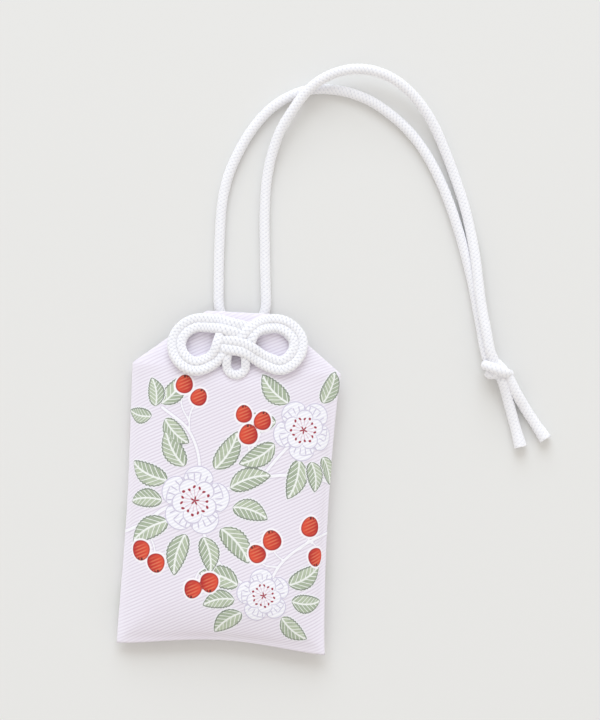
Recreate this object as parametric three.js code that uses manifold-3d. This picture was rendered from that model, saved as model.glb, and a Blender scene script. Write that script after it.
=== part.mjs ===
// Omamori charm: a padded cloth pouch with a tied bow and a hanging loop of braided cord.
// Millimetres. +X is the pouch's right, +Y runs from its bottom to its mouth, +Z is up off the table.
import * as THREE from "three";
import { mergeVertices } from "three/addons/utils/BufferGeometryUtils.js";
import Module from "manifold-3d";

const wasm = await Module();
wasm.setup();

// Pouch outline
const pouchWidth = 44;
const pouchHeight = 71;
const shoulderHeight = 59.2;
const mouthWidth = 14;
const sideDrawIn = 0.8;
const bottomDrawIn = 1.6;

// Pouch cloth and how it rounds over
const clothThickness = 0.6;
const edgeRound = 5;
const crownWidth = 13;
const seamInset = 1.6;
const mouthDepth = 7;
const mouthSlope = 9;
const mouthSlack = 0.35;

// Inserts, from the back of the pouch to its front
const cardThickness = 0.7;
const paperThickness = 0.35;
const tabletThickness = 1.3;
const waddingThickness = 1.6;
const insertMargin = 1.2;
const wrapperMargin = 3;
const tabletPlay = 1.5;
const insertCorner = 2;

// Cord
const cordDiameter = 2;
const tiedDiameter = 1.7;
const turnGap = 0.35;
const holeSpacing = 4;
const threadDiameter = 0.4;

// Bow
const bowFromTop = 6.05;
const bowOffset = -0.14;
const bowTurn = THREE.MathUtils.degToRad(3.3);
const bowLean = THREE.MathUtils.degToRad(10);
const centreWidth = 5.2;
const centreTop = 4.3;
const centreBottom = 3.6;
const centreThickness = 3.2;
const centreRound = 0.9;
const smallLoopRadius = 2;

// Bends of the hanging loop's strands, from the middle of the pouch's top edge
const leftBendPlace = [40.65, 30.2];
const rightBendPlace = [43.46, 31.7];

// End knot, and its place from the same point
const knotAside = 54.6;
const knotBelow = 8.3;
const knotLength = 6.4;
const knotWrapRadius = 1.95;
const knotTilt = THREE.MathUtils.degToRad(24);
const knotTurn = THREE.MathUtils.degToRad(-59.7);

// Fits
const clearance = 0.3;
const hingeGap = 0.5;
const cordOffTable = 0.05;

// Derived radii and levels
const cordRadius = cordDiameter / 2;
const tiedRadius = tiedDiameter / 2;
const tiedPitch = tiedDiameter + turnGap;
const topEdge = pouchHeight / 2;
const cordLevel = cordOffTable + cordRadius;
const mouthUnder = cordOffTable + cordDiameter + clearance + cordOffTable;
const mouthThickness = 2 * (clothThickness + mouthSlack) + clearance;
const seamLevel = mouthUnder + mouthThickness / 2;
const wrapperThickness = tabletThickness + 2 * (paperThickness + clearance);
const cardLevel = clothThickness + clearance;
const wrapperLevel = cardLevel + cardThickness + clearance;
const waddingLevel = wrapperLevel + wrapperThickness + clearance;
const pouchThickness = waddingLevel + waddingThickness + clearance + clothThickness;
const holeRadius = cordRadius + clearance;
const bowCentre = new THREE.Vector2(bowOffset, topEdge - bowFromTop);

// Colours for the viewer
const lilac = new THREE.MeshStandardMaterial({ color: 0xe6dfec, roughness: 0.7 });
const white = new THREE.MeshStandardMaterial({ color: 0xf2f2f4, roughness: 0.6 });
const paper = new THREE.MeshStandardMaterial({ color: 0xf3efe4, roughness: 0.9 });
const wood = new THREE.MeshStandardMaterial({ color: 0xd9b98a, roughness: 0.7 });
const card = new THREE.MeshStandardMaterial({ color: 0xc9c2b4, roughness: 0.9 });

// Corners of the pouch, from the bottom left anticlockwise, with how far each side is drawn in
const half = pouchWidth / 2;
const shoulder = shoulderHeight - topEdge;
const sides = [
  { from: [-half, -topEdge], to: [half, -topEdge], drawIn: bottomDrawIn, steps: 10 },
  { from: [half, -topEdge], to: [half, shoulder], drawIn: sideDrawIn, steps: 12 },
  { from: [half, shoulder], to: [mouthWidth / 2, topEdge], drawIn: 0, steps: 5 },
  { from: [mouthWidth / 2, topEdge], to: [-mouthWidth / 2, topEdge], drawIn: 0, steps: 5 },
  { from: [-mouthWidth / 2, topEdge], to: [-half, shoulder], drawIn: 0, steps: 5 },
  { from: [-half, shoulder], to: [-half, -topEdge], drawIn: sideDrawIn, steps: 12 },
];

// The points of one side. A curve's control point stands in twice as far as the curve does.
function sidePoints(side) {
  const from = new THREE.Vector2(...side.from);
  const to = new THREE.Vector2(...side.to);
  const along = to.clone().sub(from).normalize();
  const inward = new THREE.Vector2(-along.y, along.x);
  const control = from.clone().lerp(to, 0.5).addScaledVector(inward, 2 * side.drawIn);
  return new THREE.QuadraticBezierCurve(from, control, to).getPoints(side.steps);
}

// Moves each point of a closed outline inwards by a distance.
function insetOutline(points, distance) {
  return points.map((p, i) => {
    const before = points[(i + points.length - 1) % points.length];
    const after = points[(i + 1) % points.length];
    const a = p.clone().sub(before).normalize();
    const b = after.clone().sub(p).normalize();
    const inward = new THREE.Vector2(-a.y - b.y, a.x + b.x).normalize();
    const mitre = inward.x * -a.y + inward.y * a.x;
    return p.clone().addScaledVector(inward, distance / mitre);
  });
}

const outerEdge = sides.flatMap((side) => sidePoints(side).slice(0, -1));
const innerEdge = insetOutline(outerEdge, clothThickness);

// How far a point lies inside an outline, or 0 outside it.
function depthInside(points, x, y) {
  let nearest = Infinity;
  let inside = false;
  points.forEach((p, i) => {
    const q = points[(i + 1) % points.length];
    const dx = q.x - p.x;
    const dy = q.y - p.y;
    const raw = ((x - p.x) * dx + (y - p.y) * dy) / (dx * dx + dy * dy);
    const t = Math.min(1, Math.max(0, raw));
    nearest = Math.min(nearest, Math.hypot(x - p.x - t * dx, y - p.y - t * dy));
    if (p.y > y !== q.y > y && x < p.x + (dx * (y - p.y)) / dy) inside = !inside;
  });
  return inside ? nearest : 0;
}

// The back's edge: a quarter ellipse from the seam to where the cloth lies flat on the table.
function dome(depth, width) {
  const s = Math.min(1, depth / width);
  return Math.sqrt(1 - (1 - s) * (1 - s));
}

// The front's crown: a quarter wave from the seam to the level part over the wadding.
function swell(depth, width) {
  return Math.sin((Math.PI / 2) * Math.min(1, depth / width));
}

// 1 on the padded body, 0 on the flat mouth.
function bodyShare(y) {
  return THREE.MathUtils.smoothstep(topEdge - mouthDepth - y, 0, mouthSlope);
}

const mouthRise = (mouthThickness - clearance) / 2;
const frontRise = pouchThickness - seamLevel - clearance / 2;
const backRise = seamLevel - clearance / 2;

// Height of the cloth over the seam's own gap: outside, and inside by the cloth's thickness.
function rise(x, y, direction, within) {
  const body = bodyShare(y);
  const full = THREE.MathUtils.lerp(mouthRise, direction > 0 ? frontRise : backRise, body) - within;
  const depth = depthInside(within > 0 ? innerEdge : outerEdge, x, y);
  const rounded = dome(depth, edgeRound - within);
  const crowned = direction > 0 ? swell(depth, crownWidth - within) : rounded;
  return full * THREE.MathUtils.lerp(rounded, crowned, body);
}

function frontHeight(x, y, within = 0) {
  return seamLevel + clearance / 2 + rise(x, y, 1, within);
}

// Rings of the panels as shares of the outline, close together where the cloth rounds over
const ringShares = [1, 0.98, 0.94, 0.88, 0.79, 0.69, 0.55, 0.36];
const ringCentre = -3;

// One panel: its outer face, its inner face and the rim that joins them at the seam.
function panelGeometry(direction) {
  const positions = [];
  const indices = [];
  const count = outerEdge.length;
  const rim = seamLevel + (direction * clearance) / 2;
  const addFace = (edge, within) => {
    const first = positions.length / 3;
    const addPoint = (x, y, onRim) => {
      const up = onRim ? 0 : rise(x, y, direction, within);
      positions.push(x, y, rim + direction * up);
    };
    ringShares.forEach((share, k) => {
      edge.forEach((p) => addPoint(p.x * share, ringCentre + (p.y - ringCentre) * share, k === 0));
    });
    addPoint(0, ringCentre, false);
    return first;
  };
  const add = (a, b, c, outwards) => {
    indices.push(...(outwards ? [a, b, c] : [a, c, b]));
  };
  const addTriangles = (first, outwards) => {
    const centre = first + ringShares.length * count;
    for (let i = 0; i < count; i++) {
      const j = (i + 1) % count;
      for (let k = 0; k + 1 < ringShares.length; k++) {
        const ring = first + k * count;
        add(ring + i, ring + j, ring + count + j, outwards);
        add(ring + i, ring + count + j, ring + count + i, outwards);
      }
      const last = centre - count;
      add(last + i, last + j, centre, outwards);
    }
  };
  const outer = addFace(outerEdge, 0);
  const inner = addFace(innerEdge, clothThickness);
  addTriangles(outer, direction > 0);
  addTriangles(inner, direction < 0);
  for (let i = 0; i < count; i++) {
    const j = (i + 1) % count;
    add(outer + i, inner + j, outer + j, direction > 0);
    add(outer + i, inner + i, inner + j, direction > 0);
  }
  const geometry = new THREE.BufferGeometry();
  geometry.setAttribute("position", new THREE.Float32BufferAttribute(positions, 3));
  geometry.setIndex(indices);
  return geometry;
}

// Geometry as a solid and back, for the shapes that are cut or joined
function toSolid(geometry) {
  const bare = new THREE.BufferGeometry();
  const plain = geometry.index ? geometry.toNonIndexed() : geometry;
  bare.setAttribute("position", plain.getAttribute("position"));
  const merged = mergeVertices(bare, 1e-4);
  const mesh = new wasm.Mesh({
    numProp: 3,
    vertProperties: merged.attributes.position.array,
    triVerts: new Uint32Array(merged.index.array),
  });
  return new wasm.Manifold(mesh);
}

function toGeometry(solid) {
  const mesh = solid.getMesh();
  const geometry = new THREE.BufferGeometry();
  const positions = new THREE.BufferAttribute(new Float32Array(mesh.vertProperties), 3);
  geometry.setAttribute("position", positions);
  geometry.setIndex(new THREE.BufferAttribute(new Uint32Array(mesh.triVerts), 1));
  geometry.computeVertexNormals();
  return geometry;
}

// A tube along points. A round end is a ball at the end of the tube.
function tube(points, radius, { faces = 8, steps, roundStart = false, roundEnd = false }) {
  const section = new THREE.Shape();
  for (let j = 0; j < faces; j++) {
    const angle = (j / faces) * 2 * Math.PI;
    const corner = [radius * Math.cos(angle), radius * Math.sin(angle)];
    if (j === 0) section.moveTo(...corner);
    else section.lineTo(...corner);
  }
  const extrudePath = new THREE.CatmullRomCurve3(points);
  const geometry = new THREE.ExtrudeGeometry(section, { steps, bevelEnabled: false, extrudePath });
  if (!roundStart && !roundEnd) return geometry;
  let solid = toSolid(geometry);
  const addBall = (centre) => {
    const ball = new THREE.SphereGeometry(radius, faces, faces - 2);
    solid = solid.add(toSolid(ball.translate(centre.x, centre.y, centre.z)));
  };
  if (roundStart) addBall(points[0]);
  if (roundEnd) addBall(points[points.length - 1]);
  return toGeometry(solid);
}

// Least gap of a tied turn to itself, between points further apart along it than a few diameters.
function leastGap(points, radius) {
  const samples = new THREE.CatmullRomCurve3(points).getSpacedPoints(160);
  const length = new THREE.CatmullRomCurve3(points).getLength();
  const apart = Math.ceil((160 * 6 * radius) / length);
  let least = Infinity;
  samples.forEach((p, i) => {
    samples.slice(i + apart).forEach((q) => {
      least = Math.min(least, p.distanceTo(q));
    });
  });
  return least - 2 * radius;
}

const omamori = new THREE.Group();
omamori.name = "omamori_charm";

function addMesh(parent, name, geometry, material) {
  const mesh = new THREE.Mesh(geometry, material);
  mesh.name = name;
  parent.add(mesh);
  return mesh;
}

// Cloth panels, each pierced twice for the cord
const [leftHole, rightHole] = [-1, 1].map(
  (s) => new THREE.Vector2(bowCentre.x + (s * holeSpacing) / 2, bowCentre.y),
);

function pierced(geometry) {
  let solid = toSolid(geometry);
  [leftHole, rightHole].forEach((hole) => {
    const cutter = new THREE.CylinderGeometry(holeRadius, holeRadius, 3 * pouchThickness, 16);
    cutter.rotateX(Math.PI / 2);
    cutter.translate(hole.x, hole.y, 0);
    solid = solid.subtract(toSolid(cutter));
  });
  return toGeometry(solid);
}

addMesh(omamori, "front_panel", pierced(panelGeometry(1)), lilac);
addMesh(omamori, "back_panel", pierced(panelGeometry(-1)), lilac);

// Seam threads, just inside the rims
const threadRadius = threadDiameter / 2;
const threadEdge = insetOutline(outerEdge, seamInset);
const sideStart = sides.map((_, i) => sides.slice(0, i).reduce((n, s) => n + s.steps, 0));

function seamThread(name, sideIndex) {
  const start = sideStart[sideIndex];
  const route = [];
  for (let i = 1; i < sides[sideIndex].steps; i++) {
    const p = threadEdge[start + i];
    route.push(new THREE.Vector3(p.x, p.y, seamLevel));
  }
  const steps = sides[sideIndex].steps;
  addMesh(omamori, name, tube(route, threadRadius, { faces: 5, steps }), white);
}

seamThread("bottom_seam_thread", 0);
seamThread("right_seam_thread", 1);
seamThread("left_seam_thread", 5);

// Inserts, stacked from the back panel up, each on its own level
const insertWidth = pouchWidth - 2 * (sideDrawIn + edgeRound + insertMargin);
const insertBottom = -topEdge + bottomDrawIn + edgeRound + insertMargin;
const insertTop = topEdge - mouthDepth - mouthSlope - insertMargin;
const insertHeight = insertTop - insertBottom;
const insertMiddle = (insertTop + insertBottom) / 2;

function roundedRectangle(width, height, corner) {
  const w = width / 2 - corner;
  const h = height / 2 - corner;
  const shape = new THREE.Shape();
  shape.absarc(w, -h, corner, -Math.PI / 2, 0);
  shape.absarc(w, h, corner, 0, Math.PI / 2);
  shape.absarc(-w, h, corner, Math.PI / 2, Math.PI);
  shape.absarc(-w, -h, corner, Math.PI, 1.5 * Math.PI);
  return shape;
}

const cardShape = roundedRectangle(insertWidth, insertHeight, insertCorner);
const cardSolid = { depth: cardThickness, bevelEnabled: false, curveSegments: 4 };
const cardGeometry = new THREE.ExtrudeGeometry(cardShape, cardSolid);
addMesh(omamori, "stiffener_card", cardGeometry, card).position.set(0, insertMiddle, cardLevel);

// The wadding is flat underneath, and its top follows the inside of the front's crown.
const waddingShares = [1, 0.9, 0.78, 0.62, 0.4];

function waddingGeometry() {
  const outline = cardShape.getPoints(4).map((p) => new THREE.Vector2(p.x, insertMiddle + p.y));
  const count = outline.length;
  const positions = [];
  const indices = [];
  const addTop = (x, y) => positions.push(x, y, frontHeight(x, y, clothThickness) - clearance);
  outline.forEach((p) => positions.push(p.x, p.y, waddingLevel));
  waddingShares.forEach((share) => {
    outline.forEach((p) => addTop(p.x * share, insertMiddle + (p.y - insertMiddle) * share));
  });
  const under = positions.push(0, insertMiddle, waddingLevel) / 3 - 1;
  addTop(0, insertMiddle);
  const over = under + 1;
  for (let i = 0; i < count; i++) {
    const j = (i + 1) % count;
    indices.push(j, i, under);
    for (let ring = 0; ring < waddingShares.length * count; ring += count) {
      indices.push(ring + i, ring + j, ring + count + j);
      indices.push(ring + i, ring + count + j, ring + count + i);
    }
    const last = waddingShares.length * count;
    indices.push(last + i, last + j, over);
  }
  const geometry = new THREE.BufferGeometry();
  geometry.setAttribute("position", new THREE.Float32BufferAttribute(positions, 3));
  geometry.setIndex(indices);
  return toGeometry(toSolid(geometry));
}

addMesh(omamori, "wadding_pad", waddingGeometry(), white);

const wrapperWidth = insertWidth - 2 * wrapperMargin;
const wrapperHeight = insertHeight - 2 * wrapperMargin;
const pocketWidth = wrapperWidth - 2 * paperThickness;
const pocketThickness = wrapperThickness - 2 * paperThickness;
const wrapperOuter = new THREE.BoxGeometry(wrapperWidth, wrapperHeight, wrapperThickness);
const pocket = new THREE.BoxGeometry(pocketWidth, wrapperHeight, pocketThickness);
pocket.translate(0, paperThickness, 0);
const wrapperGeometry = toGeometry(toSolid(wrapperOuter).subtract(toSolid(pocket)));
const wrapper = addMesh(omamori, "tablet_wrapper", wrapperGeometry, paper);
wrapper.position.set(0, insertMiddle, wrapperLevel + wrapperThickness / 2);

// The tablet has a gabled top and can slide up in its wrapper by its play
const tabletWidth = pocketWidth - 2 * clearance;
const tabletHeight = wrapperHeight - paperThickness - 2 * clearance - tabletPlay;
const gable = tabletWidth / 6;
const tabletShape = new THREE.Shape();
tabletShape.moveTo(-tabletWidth / 2, 0);
tabletShape.lineTo(tabletWidth / 2, 0);
tabletShape.lineTo(tabletWidth / 2, tabletHeight - gable);
tabletShape.lineTo(0, tabletHeight);
tabletShape.lineTo(-tabletWidth / 2, tabletHeight - gable);
const tabletSolid = { depth: tabletThickness, bevelEnabled: false };
const tabletGeometry = new THREE.ExtrudeGeometry(tabletShape, tabletSolid);
const tablet = addMesh(omamori, "prayer_tablet", tabletGeometry, wood);
const pocketBottom = insertMiddle - wrapperHeight / 2 + paperThickness;
tablet.position.set(0, pocketBottom + clearance, wrapperLevel + paperThickness + clearance);

// Bow. Its own plane leans with the cloth, and its turns lie in that plane.
const bow = new THREE.Group();
bow.rotation.set(-bowLean, 0, bowTurn);
omamori.add(bow);
const rootX = centreWidth / 2 + clearance + tiedRadius;

// The left outer turn, from the centre's top round to its bottom
const outerTurn = [
  [-rootX, 3.9], [-5.3, 4.65], [-7, 5.2], [-8.9, 5.2], [-10.8, 4.4], [-12.5, 2.8], [-13.5, 0.8],
  [-13.65, -1.2], [-12.9, -3.3], [-11.3, -5.1], [-9.2, -6.1], [-7.2, -6], [-5.4, -5.1],
  [-4.3, -4.1], [-rootX, -3.4],
].map(([x, y]) => new THREE.Vector3(x, y, 0));

// The inner turn runs one pitch inside the outer turn, and its own ends go straight to the centre.
function innerTurn(points) {
  const curve = new THREE.CatmullRomCurve3(points);
  const inside = [0.14, 0.22, 0.3, 0.38, 0.46, 0.54, 0.62, 0.7, 0.78, 0.86].map((u) => {
    const t = curve.getTangentAt(u);
    return curve.getPointAt(u).add(new THREE.Vector3(-t.y, t.x, 0).multiplyScalar(tiedPitch));
  });
  const start = points[0].clone().add(new THREE.Vector3(0, -tiedPitch, 0));
  const end = points[points.length - 1].clone().add(new THREE.Vector3(0, tiedPitch, 0));
  return [start, ...inside, end];
}

const insideTurn = innerTurn(outerTurn);
const mirrored = (points) => points.map((p) => new THREE.Vector3(-p.x, p.y, p.z));

// The small loop hangs from the centre's lower face
const smallLoopAxis = -(centreBottom + clearance + tiedRadius);
const smallLoop = [];
for (let i = 0; i <= 8; i++) {
  const angle = Math.PI * (1 + i / 8);
  const x = smallLoopRadius * Math.cos(angle);
  smallLoop.push(new THREE.Vector3(x, smallLoopAxis + smallLoopRadius * Math.sin(angle), 0));
}

// The bow is set down until one of its turns, or its centre, is one clearance off the cloth
const centreUnder = centreThickness / 2;
const centreCorners = [-1, 1].flatMap((s) =>
  [centreTop, -centreBottom].map((y) => new THREE.Vector3((s * centreWidth) / 2, y, -centreUnder)),
);
function restLevel(points, radius) {
  return Math.max(
    ...points.map((p) => {
      const q = p.clone().applyEuler(bow.rotation);
      const cloth = frontHeight(bowCentre.x + q.x, bowCentre.y + q.y);
      return cloth + clearance + radius - q.z;
    }),
  );
}
const turns = [outerTurn, insideTurn, mirrored(outerTurn), mirrored(insideTurn), smallLoop];
const bowLevel = Math.max(restLevel(centreCorners, 0), ...turns.map((t) => restLevel(t, tiedRadius)));
bow.position.set(bowCentre.x, bowCentre.y, bowLevel);

const turnShape = { faces: 7, steps: 26, roundStart: true, roundEnd: true };
const turnNames = ["bow_left_outer", "bow_left_inner", "bow_right_outer", "bow_right_inner"];
turnNames.forEach((name, i) => {
  addMesh(bow, name, tube(turns[i], tiedRadius, turnShape), white);
  console.log(name + " least gap to itself " + leastGap(turns[i], tiedRadius).toFixed(2) + " mm");
});
const smallShape = { faces: 7, steps: 12, roundStart: true, roundEnd: true };
addMesh(bow, "bow_small_loop", tube(smallLoop, tiedRadius, smallShape), white);

// The centre: a rounded core with two strands that cross on top of it
const centreShape = roundedRectangle(
  centreWidth - 2 * centreRound,
  centreTop + centreBottom - 2 * centreRound,
  centreRound,
);
const centreCore = new THREE.ExtrudeGeometry(centreShape, {
  depth: centreThickness - 2 * centreRound,
  bevelThickness: centreRound,
  bevelSize: centreRound,
  bevelSegments: 2,
  curveSegments: 3,
});
const centreMiddle = (centreTop - centreBottom) / 2;
centreCore.translate(0, centreMiddle, -centreUnder + centreRound);
const crossReach = centreWidth / 2 - tiedRadius;
const crossStrand = (s) => {
  const up = centreTop - tiedRadius - centreMiddle;
  const ends = [
    new THREE.Vector3(-s * crossReach, centreMiddle + up, centreUnder - tiedRadius),
    new THREE.Vector3(0, centreMiddle, centreUnder),
    new THREE.Vector3(s * crossReach, centreMiddle - up, centreUnder - tiedRadius),
  ];
  return toSolid(tube(ends, tiedRadius, { faces: 8, steps: 8, roundStart: true, roundEnd: true }));
};
const centreSolid = toSolid(centreCore).add(crossStrand(1)).add(crossStrand(-1));
addMesh(bow, "bow_centre", toGeometry(centreSolid), white);

// Cord through the pouch's mouth, from under the bow's centre to the back of the pouch
const passTop = bowLevel - (centreUnder + cordRadius * Math.sin(bowLean)) / Math.cos(bowLean) - clearance;
function cordPass(name, hole) {
  const levels = [mouthUnder, (mouthUnder + passTop) / 2, passTop];
  const route = levels.map((z) => new THREE.Vector3(hole.x, hole.y, z));
  addMesh(omamori, name, tube(route, cordRadius, { faces: 8, steps: 2 }), white);
}

cordPass("cord_pass_left", leftHole);
cordPass("cord_pass_right", rightHole);

// Hanging loop, measured from the pouch's top edge. The strands leave behind the pouch at its holes.
const loop = new THREE.Group();
loop.position.set(0, topEdge, 0);
omamori.add(loop);
const onTable = ([x, y, up = 0]) => new THREE.Vector3(x, y, cordLevel + up);

const leftBend = onTable(leftBendPlace);
const rightBend = onTable(rightBendPlace);
const leftNear = [
  [leftHole.x, -bowFromTop], [-2.9, -3.2], [-4.45, 0.3], [-4.83, 4.4], [-5.08, 9.9], [-5.23, 15.8],
  [-5.17, 22.1], [-4.43, 27.7], [-2.72, 32.8], [-0.17, 38], [3.45, 42.9], [7.49, 46.05],
  [12.02, 47.9], [17.91, 48.1], [23.9, 46.7], [29.56, 43.5], [33.99, 39.8], [37.62, 35.3],
].map(onTable);
const rightNear = [
  [rightHole.x, -bowFromTop], [3.5, -3.2], [5.3, 0.5], [5.11, 5], [4.67, 10.5], [4.25, 16.3],
  [3.94, 21.8], [3.98, 28.1, 0.1], [4.73, 33.4, 0.5], [6.23, 38.6, 1.3], [8.51, 42.9, 2.1],
  [11.62, 47.55, 2.6], [15.45, 50.6, 3], [20, 52.3, 3.3], [24.84, 52.4, 3.4], [29.57, 50.8, 3.1],
  [33.75, 47.8, 2.4], [37.59, 43.3, 1.4], [40.88, 37.4, 0.4],
].map(onTable);
const leftFar = [
  [43.06, 25.1], [45.28, 19.3], [47.1, 13.3], [48.57, 7.9], [49.81, 2.9, 0.1], [50.95, -1.2, 0.4],
].map(onTable);
const rightFar = [
  [46.1, 25.05, 0.1], [47.85, 19, 0.5], [49.2, 13.4, 1.2], [50.25, 8, 1.7], [51.35, 3, 2.1],
  [52.35, -1.2, 2.6],
].map(onTable);

// End knot, in a frame of its own: x runs along the cord and z is up
const knot = new THREE.Group();
knot.position.set(knotAside, -knotBelow, cordOffTable + knotWrapRadius + cordRadius);
knot.rotation.z = knotTurn;
loop.add(knot);
const atKnot = (x, y, z) => new THREE.Vector3(x, y, z).applyEuler(knot.rotation).add(knot.position);
const strandEnd = (s) => {
  const aside = (s * tiedRadius) / 2;
  return atKnot(-knotLength / 2 - clearance, aside, s * (cordRadius + cordOffTable));
};
leftFar.push(strandEnd(-1));
rightFar.push(strandEnd(1));

// The near strand stops short of the bend, so that the far one can lift there.
function toBend(points, bend) {
  const back = points[points.length - 1].clone().sub(bend).normalize();
  return [...points, bend.clone().addScaledVector(back, cordRadius + hingeGap)];
}
const nearShape = { steps: 30, roundStart: true };
const farShape = { steps: 12, roundStart: true };
addMesh(loop, "strand_left_near", tube(toBend(leftNear, leftBend), cordRadius, nearShape), white);
addMesh(loop, "strand_right_near", tube(toBend(rightNear, rightBend), cordRadius, nearShape), white);
addMesh(loop, "strand_left_far", tube([leftBend, ...leftFar], cordRadius, farShape), white);
addMesh(loop, "strand_right_far", tube([rightBend, ...rightFar], cordRadius, farShape), white);

// The knot is a core along the cord with a slanting wrap round it
const coreReach = knotLength / 2 - knotWrapRadius;
const coreRoute = [-coreReach, 0, coreReach].map((x) => new THREE.Vector3(x, 0, 0));
const coreShape = { faces: 10, steps: 2, roundStart: true, roundEnd: true };
const coreSolid = toSolid(tube(coreRoute, knotWrapRadius, coreShape));
const wrapGeometry = new THREE.TorusGeometry(knotWrapRadius, cordRadius, 8, 18);
wrapGeometry.rotateY(Math.PI / 2);
wrapGeometry.rotateZ(knotTilt);
addMesh(knot, "end_knot", toGeometry(coreSolid.add(toSolid(wrapGeometry))), white);

// Tails, each with a round end at the knot that it turns on
const tailStart = (s) => {
  const aside = (s * (cordDiameter + hingeGap)) / 2;
  return atKnot(knotLength / 2 + cordRadius, aside, -knotWrapRadius / 2);
};
const leftTail = [[57.2, -16.1, 0.3], [58.8, -20], [60.84, -24.9]].map(onTable);
const rightTail = [[60.2, -14.9, 0.4], [63, -18.4], [66.09, -22.6]].map(onTable);
leftTail.unshift(tailStart(-1));
rightTail.unshift(tailStart(1));
const tailShape = { steps: 6, roundStart: true };
addMesh(loop, "tail_left", tube(leftTail, cordRadius, tailShape), white);
addMesh(loop, "tail_right", tube(rightTail, cordRadius, tailShape), white);

// Joint axes in the part's frame
omamori.updateMatrixWorld(true);
const inBow = (x, y) => bow.localToWorld(new THREE.Vector3(x, y, 0));
const bowDirection = (x, y) => new THREE.Vector3(x, y, 0).applyEuler(bow.rotation);
const inLoop = (p) => p.clone().add(loop.position);
const bendAxis = leftBend.clone().sub(rightBend).normalize();
const up = new THREE.Vector3(0, 0, 1);
omamori.userData.joints = {
  loop_swing: { at: new THREE.Vector3(bowCentre.x, bowCentre.y, cordLevel), axis: up },
  loop_lift: { at: inLoop(leftBend.clone().lerp(rightBend, 0.5)), axis: bendAxis },
  left_tail_swing: { at: inLoop(leftTail[0]), axis: up },
  right_tail_swing: { at: inLoop(rightTail[0]), axis: up },
  bow_left_lift: { at: inBow(-rootX, 0), axis: bowDirection(0, 1) },
  bow_right_lift: { at: inBow(rootX, 0), axis: bowDirection(0, -1) },
  small_loop_lift: { at: inBow(0, smallLoopAxis), axis: bowDirection(-1, 0) },
  tablet_slide: { at: tablet.position.clone(), axis: new THREE.Vector3(0, 1, 0) },
};

export default omamori;
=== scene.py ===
"""Omamori charm on a pale table.

A padded brocade pouch with a tied bow and a hanging loop of braided cord.
"""

import math

import bpy
import numpy as np
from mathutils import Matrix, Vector


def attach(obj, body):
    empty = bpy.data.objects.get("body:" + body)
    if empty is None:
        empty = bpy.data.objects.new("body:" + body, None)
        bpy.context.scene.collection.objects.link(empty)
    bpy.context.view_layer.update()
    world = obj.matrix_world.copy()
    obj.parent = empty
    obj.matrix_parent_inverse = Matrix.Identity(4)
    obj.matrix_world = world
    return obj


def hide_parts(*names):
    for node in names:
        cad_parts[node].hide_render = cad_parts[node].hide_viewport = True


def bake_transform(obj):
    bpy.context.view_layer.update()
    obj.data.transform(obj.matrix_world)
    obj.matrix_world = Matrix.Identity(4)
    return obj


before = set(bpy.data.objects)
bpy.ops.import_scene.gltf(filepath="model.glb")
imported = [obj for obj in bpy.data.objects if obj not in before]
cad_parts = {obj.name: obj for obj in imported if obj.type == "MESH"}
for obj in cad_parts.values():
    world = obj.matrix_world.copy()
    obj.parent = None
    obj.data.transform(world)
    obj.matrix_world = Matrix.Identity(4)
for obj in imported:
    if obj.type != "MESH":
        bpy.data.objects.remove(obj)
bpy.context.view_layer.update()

MM = 0.001
scene = bpy.context.scene
scene.view_settings.view_transform = "Standard"

# Cord, in millimetres
CORD_RADIUS = 1.03
BRAID_CARRIERS = 5
BRAID_PITCH = 0.86
BRAID_RELIEF = 0.09
RING_STEP = 0.14
CREST_SHARE = 0.2
RING_SIDES = 40
THREAD_TWIST = 0.9
CUT_SHADE = 0.6
LEAST_RING = 0.02
SPLINE_SAMPLES = 40

# Levels and places from the solids, in millimetres
TOP_EDGE = 35.5
CORD_LEVEL = 1.1
BOW_PLACE = np.array((-0.14, 29.45, 7.05))
BOW_TURN = math.radians(3.3)
BOW_LEAN = math.radians(10)
KNOT_PLACE = np.array((54.6, TOP_EDGE - 8.3, 3.0))
KNOT_TURN = math.radians(-59.7)
HOLES = ((-2.14, 29.45), (1.86, 29.45))


def srgb(r, g, b):
    """A colour from 0 to 255 as linear values with alpha."""
    def linear(c):
        c /= 255
        return c / 12.92 if c <= 0.04045 else ((c + 0.055) / 1.055) ** 2.4
    return (linear(r), linear(g), linear(b), 1.0)


def smoothstep(x):
    """A smooth step from 0 to 1, for values from 0 to 1."""
    x = np.clip(x, 0, 1)
    return x * x * (3 - 2 * x)


# Routes

def spline(points, step=0.3):
    """Points along a centripetal Catmull-Rom curve, an even step apart."""
    p = np.array(points, float)
    p = np.vstack((2 * p[0] - p[1], p, 2 * p[-1] - p[-2]))
    fine = []
    for i in range(1, len(p) - 2):
        p0, p1, p2, p3 = p[i - 1:i + 3]
        d0, d1, d2 = (math.sqrt(np.linalg.norm(b - a))
                      for a, b in ((p0, p1), (p1, p2), (p2, p3)))
        m1 = d1 * ((p1 - p0) / d0 - (p2 - p0) / (d0 + d1) + (p2 - p1) / d1)
        m2 = d1 * ((p2 - p1) / d1 - (p3 - p1) / (d1 + d2) + (p3 - p2) / d2)
        t = np.linspace(0, 1, SPLINE_SAMPLES, endpoint=False)[:, None]
        fine.append((2 * t**3 - 3 * t**2 + 1) * p1 + (t**3 - 2 * t**2 + t) * m1
                    + (3 * t**2 - 2 * t**3) * p2 + (t**3 - t**2) * m2)
    fine = np.vstack((*fine, p[-2]))
    return even(fine, step)


def even(points, step):
    """The same line with its points an even step apart."""
    run = np.concatenate(([0], np.cumsum(np.linalg.norm(np.diff(points, axis=0), axis=1))))
    count = max(2, round(run[-1] / step) + 1)
    at = np.linspace(0, run[-1], count)
    return np.stack([np.interp(at, run, points[:, k]) for k in range(3)], 1)


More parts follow.
